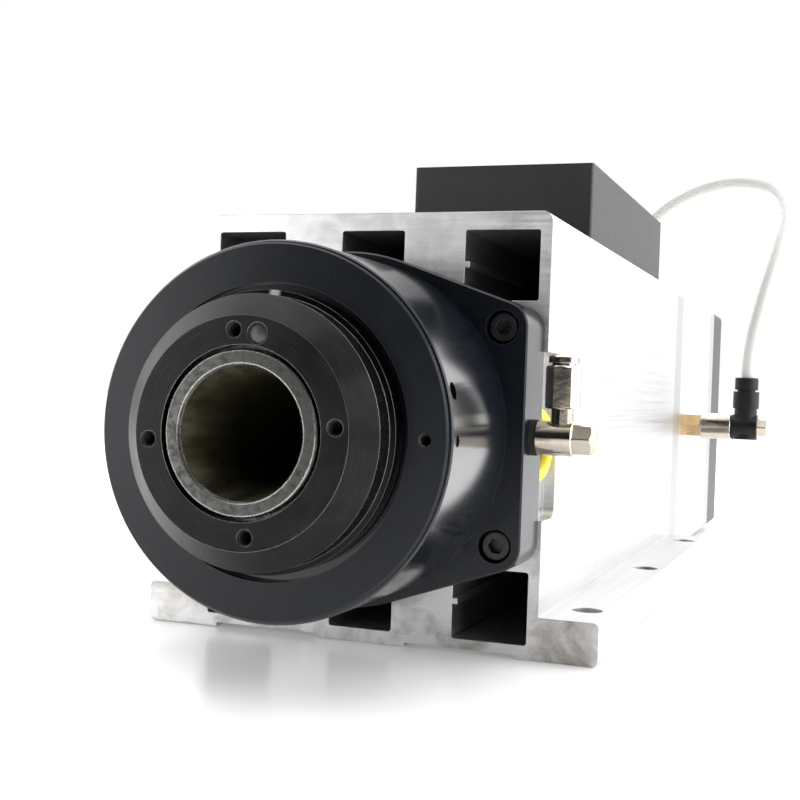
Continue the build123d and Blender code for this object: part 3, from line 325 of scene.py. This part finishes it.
# %% Rings left by a lathe
tree, given, gives = effect("lathe rings", [("Pitch", "Float", 0.0003), ("Smear", "Float", 2.0)],
                            [("Height", "Float"), ("Radius", "Float"), ("Along", "Float")])
place = put(tree, "ShaderNodeTexCoord").outputs["Object"]
x, y, z = put(tree, "ShaderNodeSeparateXYZ", {0: place}).outputs
flat_place = put(tree, "ShaderNodeCombineXYZ", {0: x, 1: z}).outputs[0]
radius = put(tree, "ShaderNodeVectorMath", {0: flat_place}, operation="LENGTH").outputs["Value"]
around = put(tree, "ShaderNodeVectorMath", {0: flat_place}, operation="NORMALIZE").outputs[0]
turn = put(tree, "ShaderNodeSeparateXYZ", {0: around}).outputs
across = calc(tree, "DIVIDE", calc(tree, "ADD", radius, y), given["Pitch"])
smeared_x = calc(tree, "MULTIPLY", turn[0], given["Smear"])
smeared_z = calc(tree, "MULTIPLY", turn[1], given["Smear"])
point = put(tree, "ShaderNodeCombineXYZ", {0: across, 1: smeared_x, 2: smeared_z}).outputs[0]
rings = put(tree, "ShaderNodeTexNoise", {"Vector": point, "Scale": 1.0, "Detail": 3.0}).outputs[0]
tree.links.new(rings, gives["Height"])
tree.links.new(radius, gives["Radius"])
tree.links.new(y, gives["Along"])
lathe_rings = tree
print("lathe rings ready")

# %% Grain, from drawn lines to powder
tree, given, gives = effect("grain", [("Stretch", "Vector", (400, 400, 400)), ("Detail", "Float", 3.0)],
                            [("Height", "Float")])
place = put(tree, "ShaderNodeTexCoord").outputs["Object"]
pulled = put(tree, "ShaderNodeVectorMath", {0: place, 1: given["Stretch"]}, operation="MULTIPLY").outputs[0]
grains = put(tree, "ShaderNodeTexNoise",
             {"Vector": pulled, "Scale": 1.0, "Detail": given["Detail"]}).outputs[0]
tree.links.new(grains, gives["Height"])
grain = tree
print("grain ready")

# %% Stains and patches
tree, given, gives = effect("patches", [("Stretch", "Vector", (40, 40, 40)), ("From", "Float", 0.45),
                                        ("To", "Float", 0.6)], [("Mask", "Float")])
place = put(tree, "ShaderNodeTexCoord").outputs["Object"]
pulled = put(tree, "ShaderNodeVectorMath", {0: place, 1: given["Stretch"]}, operation="MULTIPLY").outputs[0]
cloud = put(tree, "ShaderNodeTexNoise", {"Vector": pulled, "Scale": 1.0, "Detail": 5.0, "Roughness": 0.6,
                                         "Distortion": 0.4}).outputs[0]
mask = put(tree, "ShaderNodeMapRange", {0: cloud, 1: given["From"], 2: given["To"]}).outputs[0]
tree.links.new(mask, gives["Mask"])
patches = tree
print("patches ready")

# %% Dust and pinhole specks
tree, given, gives = effect("specks", [("Spacing", "Float", 0.002), ("Size", "Float", 0.05),
                                       ("Share", "Float", 0.3)], [("Mask", "Float")])
place = put(tree, "ShaderNodeTexCoord").outputs["Object"]
scale = calc(tree, "DIVIDE", 1.0, given["Spacing"])
cells = put(tree, "ShaderNodeTexVoronoi", {"Vector": place, "Scale": scale})
lot = put(tree, "ShaderNodeSeparateColor", {0: cells.outputs["Color"]}).outputs[0]
chosen = calc(tree, "LESS_THAN", lot, given["Share"])
reach = calc(tree, "MULTIPLY", given["Size"], lot)
near = calc(tree, "LESS_THAN", cells.outputs["Distance"], reach)
tree.links.new(calc(tree, "MULTIPLY", chosen, near), gives["Mask"])
specks = tree
print("specks ready")

# %% [markdown]
# ## A finish and what wears it
# A finish is one Principled shader with its constant numbers on its own sockets and its effects linked in.
# The small class below only saves typing: it opens the material, places a group, mixes two colours, adds a
# bump and dresses the parts that wear the finish. Noise keeps near its middle, so where a finish follows a
# noise, only the usual range of its values is spread out.

# %% A helper that opens a finish
usual_noise = (0.3, 0.7)


class Finish:
    """A material with one Principled shader."""

    def __init__(self, name, **numbers):
        self.material = bpy.data.materials.new(name)
        self.material.use_nodes = True
        self.tree = self.material.node_tree
        self.shader = self.tree.nodes["Principled BSDF"]
        for socket, value in numbers.items():
            self.shader.inputs[socket.replace("_", " ")].default_value = value

    def place(self, group, **values):
        """A shared effect with this finish's own values."""
        node = self.tree.nodes.new("ShaderNodeGroup")
        node.node_tree = group
        for socket, value in values.items():
            node.inputs[socket].default_value = value
        return node.outputs

    def mix(self, share, one, other):
        """One colour turning into another where the mask says so; sockets 6, 7 and 2 carry colours."""
        node = self.tree.nodes.new("ShaderNodeMix")
        node.data_type = "RGBA"
        factor, first, second = node.inputs["Factor"], node.inputs[6], node.inputs[7]
        for socket, value in ((factor, share), (first, one), (second, other)):
            if isinstance(value, bpy.types.NodeSocket):
                self.tree.links.new(value, socket)
            else:
                socket.default_value = (*value, 1) if isinstance(value, tuple) else value
        return node.outputs[2]

    def calc(self, operation, a, b=0.0):
        return calc(self.tree, operation, a, b)

    def spread(self, value, *ends):
        return spread(self.tree, value, *ends)

    def follow(self, mask, at_zero, at_one):
        """A number that goes from one value to another as the mask goes from 0 to 1."""
        return spread(self.tree, mask, 0.0, 1.0, at_zero, at_one)

    def give(self, **sockets):
        """Link values that change over the surface to the shader."""
        for socket, value in sockets.items():
            self.tree.links.new(value, self.shader.inputs[socket.replace("_", " ")])

    def bump(self, height, depth, rounded=None):
        """Raise the surface by a height in metres, over rounded edges if they are given."""
        node = put(self.tree, "ShaderNodeBump", {"Height": height, "Distance": depth, "Strength": 1.0})
        if rounded is not None:
            self.tree.links.new(rounded, node.inputs["Normal"])
        self.give(Normal=node.outputs[0])

    def dress(self, *names):
        """Put the finish on CAD nodes or pieces."""
        for name in names:
            piece = nodes.get(name) or bpy.data.objects[name]
            if not piece.data.materials:
                piece.data.materials.append(self.material)
            for slot in piece.material_slots:
                slot.material = self.material
        print(self.material.name, "on", len(names), "pieces")


# %% [markdown]
# ## Ground steel with an oily bore
# The spindle's mouth is ground steel, patchy on its face and rubbed bright on its edges, and its taper is
# wet with old grease, so the bore looks olive brown; deeper inside, its colour is painted nearly black as
# shade. The shaft is one part, so the finish tells the bore from the face by its distance from the axis and
# its depth, both in metres.

# %% Shaft steel
bore_radii, bore_begins, bore_shade_deepens = (0.01640, 0.01625), (0.0008, 0.0012), (0.002, 0.022)
worn_bright, deep_painted_shade = (0.95, 0.94, 0.91), (0.028, 0.024, 0.009)
shaft = Finish("ground shaft steel", IOR=1.5)
edges = shaft.place(worn_edges, Width=0.0005)
turned = shaft.place(lathe_rings, Pitch=0.00012, Smear=1.5)
dark_patches = shaft.place(patches, Stretch=(560, 560, 560), From=0.38, To=0.66)["Mask"]
streaks = shaft.place(patches, Stretch=(160, 22, 160), From=0.4, To=0.66)["Mask"]
face_colour = shaft.mix(dark_patches, (0.105, 0.104, 0.100), (0.050, 0.047, 0.043))
greasy = shaft.mix(streaks, (0.035, 0.032, 0.014), (0.15, 0.14, 0.09))
in_bore = shaft.calc("MULTIPLY", shaft.spread(turned["Radius"], *bore_radii),
                     shaft.spread(turned["Along"], *bore_begins))
# Deeper in the bore the colour turns to a near-black painted shade.
deep = shaft.spread(turned["Along"], *bore_shade_deepens)
plain = shaft.mix(in_bore, face_colour, shaft.mix(deep, greasy, deep_painted_shade))
rough_grease = shaft.calc("MULTIPLY", in_bore, 0.15)
shaft.give(Base_Color=shaft.mix(edges["Edge"], plain, worn_bright),
           Metallic=shaft.follow(in_bore, 1.0, 0.35),
           Roughness=shaft.calc("ADD", shaft.follow(dark_patches, 0.20, 0.38), rough_grease))
shaft.bump(turned["Height"], depth=0.000004, rounded=edges["Rounded"])
shaft.dress("spindle_shaft", "outer_spacer", "inner_spacer", "bearing_retainer", "drawbar", "fan_pin")

# %% [markdown]
# ## The dark turned nut
# The nut is turned steel, chemically darkened. Tool rings catch the light as fine circles on its face, the
# black is rubbed bright along its corners, and its rim carries one painted highlight, which is only a spot
# of colour with a ragged edge. The groove behind the rim is in deep shade, so its colour is painted darker
# still.

# %% Nut steel
face_ends, groove_begins = (0.0060, 0.0050), (0.0114, 0.0119)
glint_place, glint_edge, glint_rag = (0.0022, 0.0125, 0.0338), (0.0021, 0.0012), 0.0004
nut = Finish("dark turned nut steel", Metallic=0.6, IOR=1.36)
edges = nut.place(worn_edges, Width=0.0002)
turned = nut.place(lathe_rings, Pitch=0.00016, Smear=3.0)
smudges = nut.place(patches, Stretch=(90, 90, 90), From=0.4, To=0.75)["Mask"]
dust = nut.place(specks, Spacing=0.0016, Size=0.16, Share=0.25)["Mask"]
ground = nut.mix(smudges, (0.008, 0.008, 0.009), (0.015, 0.0145, 0.0145))
ringed = nut.mix(nut.spread(turned["Height"], 0.55, 0.8), ground, (0.030, 0.029, 0.028))
dusted = nut.mix(dust, ringed, (0.4, 0.38, 0.35))
place = put(nut.tree, "ShaderNodeTexCoord").outputs["Object"]
away = put(nut.tree, "ShaderNodeVectorMath", {0: place, 1: glint_place},
           operation="DISTANCE").outputs["Value"]
# A painted highlight on the rim: a bright spot of colour with a ragged edge.
painted_glint = nut.spread(nut.calc("ADD", away, nut.calc("MULTIPLY", smudges, glint_rag)), *glint_edge)
glinted = nut.mix(painted_glint, dusted, (0.75, 0.72, 0.68))
in_groove = nut.spread(turned["Along"], *groove_begins)
# The groove is painted nearly black as shade, except under the painted highlight.
shaded = nut.mix(nut.calc("SUBTRACT", in_groove, painted_glint), glinted, (0.003, 0.003, 0.003))
# Rubbed bright edges, dimmed in the groove as painted shade.
rubbed_and_shade_dimmed = nut.calc("MULTIPLY", edges["Edge"], nut.follow(in_groove, 1.0, 0.4))
nut.give(Base_Color=nut.mix(rubbed_and_shade_dimmed, shaded, (0.5, 0.46, 0.43)),
         Roughness=nut.follow(smudges, 0.24, 0.32))
on_face = nut.spread(turned["Along"], *face_ends)
nut.bump(nut.calc("MULTIPLY", turned["Height"], on_face), depth=0.000005, rounded=edges["Rounded"])
nut.dress("labyrinth_nut", "rear_lock_nut", "gripper", "drawbar_cap")

# %% [markdown]
# ## Bare cut steel
# The balance plug and the threads look bare, as if they were cut after the black went on. So they are plain
# grey steel with fine scratches.

# %% Cut steel
cut_steel = Finish("bare cut steel", Metallic=0.8, IOR=1.5)
edges = cut_steel.place(worn_edges, Width=0.0002)
scratches = cut_steel.place(grain, Stretch=(900, 900, 900))["Height"]
cut_steel.give(Base_Color=cut_steel.mix(edges["Edge"], (0.085, 0.083, 0.08), (0.5, 0.48, 0.45)),
               Roughness=cut_steel.spread(scratches, *usual_noise, 0.38, 0.55))
cut_steel.bump(scratches, depth=0.00002)
cut_steel.dress("balance_plug", *(ridge.name for ridge in threads))

# %% [markdown]
# ## Blackened housing
# Cover, barrel and flange are steel with a black oxide skin: blue-black and satin on the faces, and glossy
# on the barrel, where it mirrors the lights as long bands. The finish knows the barrel by its place along
# the axis. Only the cover has lathe rings. The barrel is left smooth, so its bands stay clean.

# %% Black oxide
barrel_begins, flange_begins = (0.0155, 0.0165), (0.0612, 0.0616)
black = Finish("black oxide steel", Metallic=0.0, IOR=1.36, Coat_Roughness=0.17)
edges = black.place(worn_edges, Width=0.0003)
turned = black.place(lathe_rings, Pitch=0.00022, Smear=1.2)
smudges = black.place(patches, Stretch=(60, 60, 60), From=0.4, To=0.7)["Mask"]
dust = black.place(specks, Spacing=0.0022, Size=0.12, Share=0.3)["Mask"]
skin = black.mix(smudges, (0.005, 0.0065, 0.010), (0.008, 0.010, 0.014))
dusted = black.mix(dust, skin, (0.12, 0.12, 0.12))
behind_cover = black.spread(turned["Along"], *barrel_begins)
on_flange = black.spread(turned["Along"], *flange_begins)
on_barrel = black.calc("SUBTRACT", behind_cover, on_flange)
black.give(Base_Color=black.mix(edges["Edge"], dusted, (0.06, 0.06, 0.063)),
           Coat_Weight=black.calc("MULTIPLY", on_barrel, 0.7),
           Roughness=black.follow(on_barrel, 0.22, 0.16))
on_cover = black.calc("SUBTRACT", 1.0, behind_cover)
black.bump(black.calc("MULTIPLY", turned["Height"], on_cover), depth=0.000002)
black.dress("front_housing", "front_cover")

# %% Black screws
screw = Finish("black screw steel", Metallic=0.3, IOR=1.6)
edges = screw.place(worn_edges, Width=0.0002)
grains = screw.place(grain, Stretch=(900, 900, 900))["Height"]
screw.give(Base_Color=screw.mix(edges["Edge"], (0.018, 0.018, 0.02), (0.16, 0.155, 0.15)),
           Roughness=screw.spread(grains, *usual_noise, 0.25, 0.45))
screw.bump(grains, depth=0.00002, rounded=edges["Rounded"])
screw.dress("cover_lock_screw", "flange_screws", "tie_screws", "lid_screws", "guard_screws")

# %% [markdown]
# ## Drawn aluminium
# The motor body is a drawn profile, bare metal. Its long faces carry fine lines along their length from the
# die, and the sawn ends have cross marks and grey-brown stains, mostly low down, and its colour also grows
# evenly darker towards the bottom. The finish tells an end from a long face by the way it faces.

# %% Aluminium profile
end_facing, darker_below, marked = (0.7, 0.8), (-0.030, -0.048), (0.3, 0.75)
profile = Finish("drawn aluminium", Metallic=1.0, IOR=1.4)
edges = profile.place(worn_edges, Width=0.0004)
die_lines = profile.place(grain, Stretch=(2600, 9, 2600), Detail=4.0)["Height"]
saw_marks = profile.place(grain, Stretch=(55, 55, 2300), Detail=3.0)["Height"]
stains = profile.place(patches, Stretch=(70, 40, 90), From=0.44, To=0.70)["Mask"]
normal = put(profile.tree, "ShaderNodeNewGeometry").outputs["Normal"]
facing = put(profile.tree, "ShaderNodeSeparateXYZ", {0: normal}).outputs["Y"]
on_end = profile.spread(profile.calc("ABSOLUTE", facing), *end_facing)
on_side = profile.calc("SUBTRACT", 1.0, on_end)
lines = profile.calc("ADD", profile.calc("MULTIPLY", die_lines, on_side),
                     profile.calc("MULTIPLY", saw_marks, on_end))
drawn = profile.mix(profile.spread(lines, *marked), (0.57, 0.57, 0.58), (0.70, 0.70, 0.71))
sawn = profile.mix(profile.spread(lines, *marked), (0.80, 0.80, 0.81), (0.92, 0.92, 0.93))
bare = profile.mix(on_end, drawn, sawn)
place = put(profile.tree, "ShaderNodeTexCoord").outputs["Object"]
height = put(profile.tree, "ShaderNodeSeparateXYZ", {0: place}).outputs["Z"]
low_down = profile.spread(height, *darker_below)
# Patchy stains, stronger low down, plus an even darkening towards the bottom.
stains_plus_low_darkening = profile.calc("ADD", profile.calc("MULTIPLY", stains, profile.follow(low_down, 0.4, 0.75)),
                       profile.calc("MULTIPLY", low_down, 0.25))
stain_and_darkening_mask = profile.calc("MULTIPLY", stains_plus_low_darkening, profile.follow(on_end, 0.12, 1.0))
stained_and_darkened = profile.mix(stain_and_darkening_mask, bare, (0.24, 0.21, 0.175))
profile.give(Base_Color=stained_and_darkened, Roughness=profile.spread(lines, *marked, 0.34, 0.5))
profile.bump(lines, depth=0.00001, rounded=edges["Rounded"])
profile.dress("motor_body", "cylinder_body")

# %% Cast and machined aluminium
cast = Finish("cast aluminium", Metallic=1.0, IOR=1.4)
grains = cast.place(grain, Stretch=(500, 500, 500), Detail=4.0)["Height"]
cast.give(Base_Color=cast.mix(grains, (0.40, 0.40, 0.41), (0.54, 0.54, 0.55)),
          Roughness=cast.spread(grains, *usual_noise, 0.35, 0.55))
cast.bump(grains, depth=0.00004)
cast.dress("rear_bearing_shield", "rear_plate", "rotor_end_rings", "piston")

# %% [markdown]
# ## Nickel, brass and the tube
# The fittings are turned brass with a warm nickel plating: mirror-like, with small ripples. The tube is
# milky plastic. Such a tube lets some light through, but that renders with noise, so a pale colour with a
# little haze stands for it.

# %% Nickel plate
nickel = Finish("nickel plate", Metallic=1.0, IOR=1.5)
edges = nickel.place(worn_edges, Width=0.0002)
ripples = nickel.place(grain, Stretch=(420, 420, 420), Detail=2.0)["Height"]
tarnish = nickel.place(patches, Stretch=(220, 220, 220), From=0.45, To=0.8)["Mask"]
plate = nickel.mix(tarnish, (0.52, 0.47, 0.40), (0.38, 0.32, 0.25))
nickel.give(Base_Color=nickel.mix(edges["Edge"], plate, (0.85, 0.82, 0.77)),
            Roughness=nickel.follow(tarnish, 0.12, 0.25))
nickel.bump(ripples, depth=0.00003, rounded=edges["Rounded"])
nickel.dress("fitting_body", "fitting_bolt", "fitting_release_ring", "gland_bodies", "gland_nuts",
             "rear_fitting_collar", "rear_fitting_screw", "top_fitting")

# %% Brass
brass = Finish("bare brass", Metallic=1.0, IOR=1.5)
edges = brass.place(worn_edges, Width=0.0002)
ripples = brass.place(grain, Stretch=(420, 420, 420), Detail=2.0)["Height"]
brass.give(Base_Color=brass.mix(ripples, (0.70, 0.47, 0.22), (0.82, 0.60, 0.33)),
           Roughness=brass.spread(ripples, *usual_noise, 0.18, 0.3))
brass.bump(ripples, depth=0.00003, rounded=edges["Rounded"])
brass.dress("rear_fitting_base", "position_sensors")

# %% Milky tube
tube = Finish("milky tube", IOR=1.48)
haze = tube.place(grain, Stretch=(120, 120, 120), Detail=2.0)["Height"]
tube.give(Base_Color=tube.mix(haze, (0.66, 0.67, 0.63), (0.72, 0.73, 0.69)),
          Roughness=tube.spread(haze, *usual_noise, 0.25, 0.4))
tube.bump(haze, depth=0.00005)
tube.dress("air_tube", "soft_air_line")

# %% [markdown]
# ## Box, plastic and rubber
# The terminal box is powder coated, which shows as a fine even orange peel. The plastic parts are moulded
# with a duller skin, and rubber is duller still.

# %% Powder coat
powder = Finish("black powder coat", IOR=1.5)
edges = powder.place(worn_edges, Width=0.0005)
peel = powder.place(grain, Stretch=(1100, 1100, 1100), Detail=2.0)["Height"]
scuffs = powder.place(patches, Stretch=(50, 50, 50), From=0.5, To=0.8)["Mask"]
powder.give(Base_Color=powder.mix(scuffs, (0.013, 0.013, 0.014), (0.021, 0.021, 0.023)),
            Roughness=powder.spread(peel, *usual_noise, 0.4, 0.55))
powder.bump(peel, depth=0.00005, rounded=edges["Rounded"])
powder.dress("terminal_box", "terminal_box_lid")

# %% Painted guard
paint = Finish("black guard paint", IOR=1.5)
peel = paint.place(grain, Stretch=(700, 700, 700), Detail=2.0)["Height"]
paint.give(Base_Color=paint.mix(peel, (0.02, 0.02, 0.02), (0.03, 0.03, 0.03)),
           Roughness=paint.spread(peel, *usual_noise, 0.3, 0.4))
paint.bump(peel, depth=0.00003)
paint.dress("fan_guard")

# %% Moulded plastic
plastic = Finish("black moulded plastic", IOR=1.36)
edges = plastic.place(worn_edges, Width=0.0003)
skin = plastic.place(grain, Stretch=(1500, 1500, 1500), Detail=2.0)["Height"]
plastic.give(Base_Color=plastic.mix(skin, (0.004, 0.004, 0.0045), (0.009, 0.009, 0.0095)),
             Roughness=plastic.spread(skin, *usual_noise, 0.32, 0.48))
plastic.bump(skin, depth=0.00002, rounded=edges["Rounded"])
plastic.dress("terminal_block", "rear_fitting_elbow", "fan_cowl", "fan_impeller", "rear_release_ring",
              "top_release_ring")

# %% Rubber
rubber = Finish("matt rubber", IOR=1.45)
skin = rubber.place(grain, Stretch=(900, 900, 900), Detail=3.0)["Height"]
rubber.give(Base_Color=rubber.mix(skin, (0.01, 0.01, 0.01), (0.02, 0.02, 0.02)),
            Roughness=rubber.spread(skin, *usual_noise, 0.6, 0.8))
rubber.bump(skin, depth=0.00003)
rubber.dress("lid_gasket", "fitting_washer", "piston_ring")

# %% Yellow lead
jacket = Finish("yellow lead jacket", IOR=1.46)
skin = jacket.place(grain, Stretch=(500, 500, 500), Detail=2.0)["Height"]
jacket.give(Base_Color=jacket.mix(skin, (0.75, 0.60, 0.03), (0.85, 0.72, 0.06)),
            Roughness=jacket.spread(skin, *usual_noise, 0.3, 0.45))
jacket.bump(skin, depth=0.00002)
jacket.dress("sensor_lead", "yellow_lead_loop")

# %% [markdown]
# ## Parts inside
# Bearings, windings and springs are hidden when the spindle is whole, but a motor taken apart shows them.
# They get the same care: polished races, a varnished winding, stacked sheet steel, brown resin cages.

# %% Bearing steel
polished = Finish("polished bearing steel", Metallic=1.0, IOR=1.5)
turned = polished.place(lathe_rings, Pitch=0.00008, Smear=1.0)
edges = polished.place(worn_edges, Width=0.0002)
polished.give(Base_Color=polished.mix(edges["Edge"], (0.62, 0.62, 0.62), (0.85, 0.85, 0.84)),
              Roughness=polished.spread(turned["Height"], *usual_noise, 0.1, 0.24))
polished.bump(turned["Height"], depth=0.000002, rounded=edges["Rounded"])
polished.dress("front_bearing_outer_rings", "front_bearing_inner_rings", "rear_bearing_outer_ring",
               "rear_bearing_inner_ring", "front_balls", "rear_balls")

# %% Stacked sheet steel
sheets = Finish("stacked sheet steel", Metallic=1.0, IOR=1.5)
layers = sheets.place(grain, Stretch=(30, 2000, 30), Detail=1.0)["Height"]
sheets.give(Base_Color=sheets.mix(layers, (0.20, 0.20, 0.22), (0.42, 0.42, 0.44)),
            Roughness=sheets.spread(layers, *usual_noise, 0.4, 0.6))
sheets.bump(layers, depth=0.00005)
sheets.dress("stator_core", "rotor_core")

# %% Varnished copper
winding = Finish("varnished copper winding", Metallic=0.8, IOR=1.5, Coat_Weight=0.4)
wires = winding.place(grain, Stretch=(900, 60, 900), Detail=2.0)["Height"]
winding.give(Base_Color=winding.mix(wires, (0.35, 0.13, 0.05), (0.72, 0.34, 0.16)),
             Roughness=winding.spread(wires, *usual_noise, 0.25, 0.45))
winding.bump(wires, depth=0.0002)
winding.dress("stator_windings")

# %% Resin cages
resin = Finish("brown cage resin", IOR=1.5)
fibres = resin.place(grain, Stretch=(1200, 300, 1200), Detail=3.0)["Height"]
resin.give(Base_Color=resin.mix(fibres, (0.24, 0.11, 0.04), (0.42, 0.24, 0.10)),
           Roughness=resin.spread(fibres, *usual_noise, 0.4, 0.6))
resin.bump(fibres, depth=0.00003)
resin.dress("front_ball_cages", "rear_ball_cage")

# %% Spring steel
spring = Finish("phosphated spring steel", Metallic=0.8, IOR=1.5)
turned = spring.place(lathe_rings, Pitch=0.0002, Smear=2.0)
spring.give(Base_Color=spring.mix(turned["Height"], (0.10, 0.10, 0.105), (0.24, 0.24, 0.25)),
            Roughness=spring.spread(turned["Height"], *usual_noise, 0.35, 0.5))
spring.bump(turned["Height"], depth=0.000005)
spring.dress("disc_springs")

# %% [markdown]
# ## The table's finish
# The board is white and polished, with hardly any variation. It also gives off a little light of its own,
# which keeps it white close to the part.

# %% White table board
board_finish = Finish("glossy white board", IOR=1.4, Emission_Color=(1, 1, 1, 1), Emission_Strength=0.15)
waves = board_finish.place(grain, Stretch=(14, 14, 14), Detail=2.0)["Height"]
board_finish.give(Base_Color=board_finish.mix(waves, (0.94, 0.94, 0.94), (0.95, 0.95, 0.95)),
                  Roughness=board_finish.spread(waves, *usual_noise, 0.19, 0.21))
board_finish.dress("table")
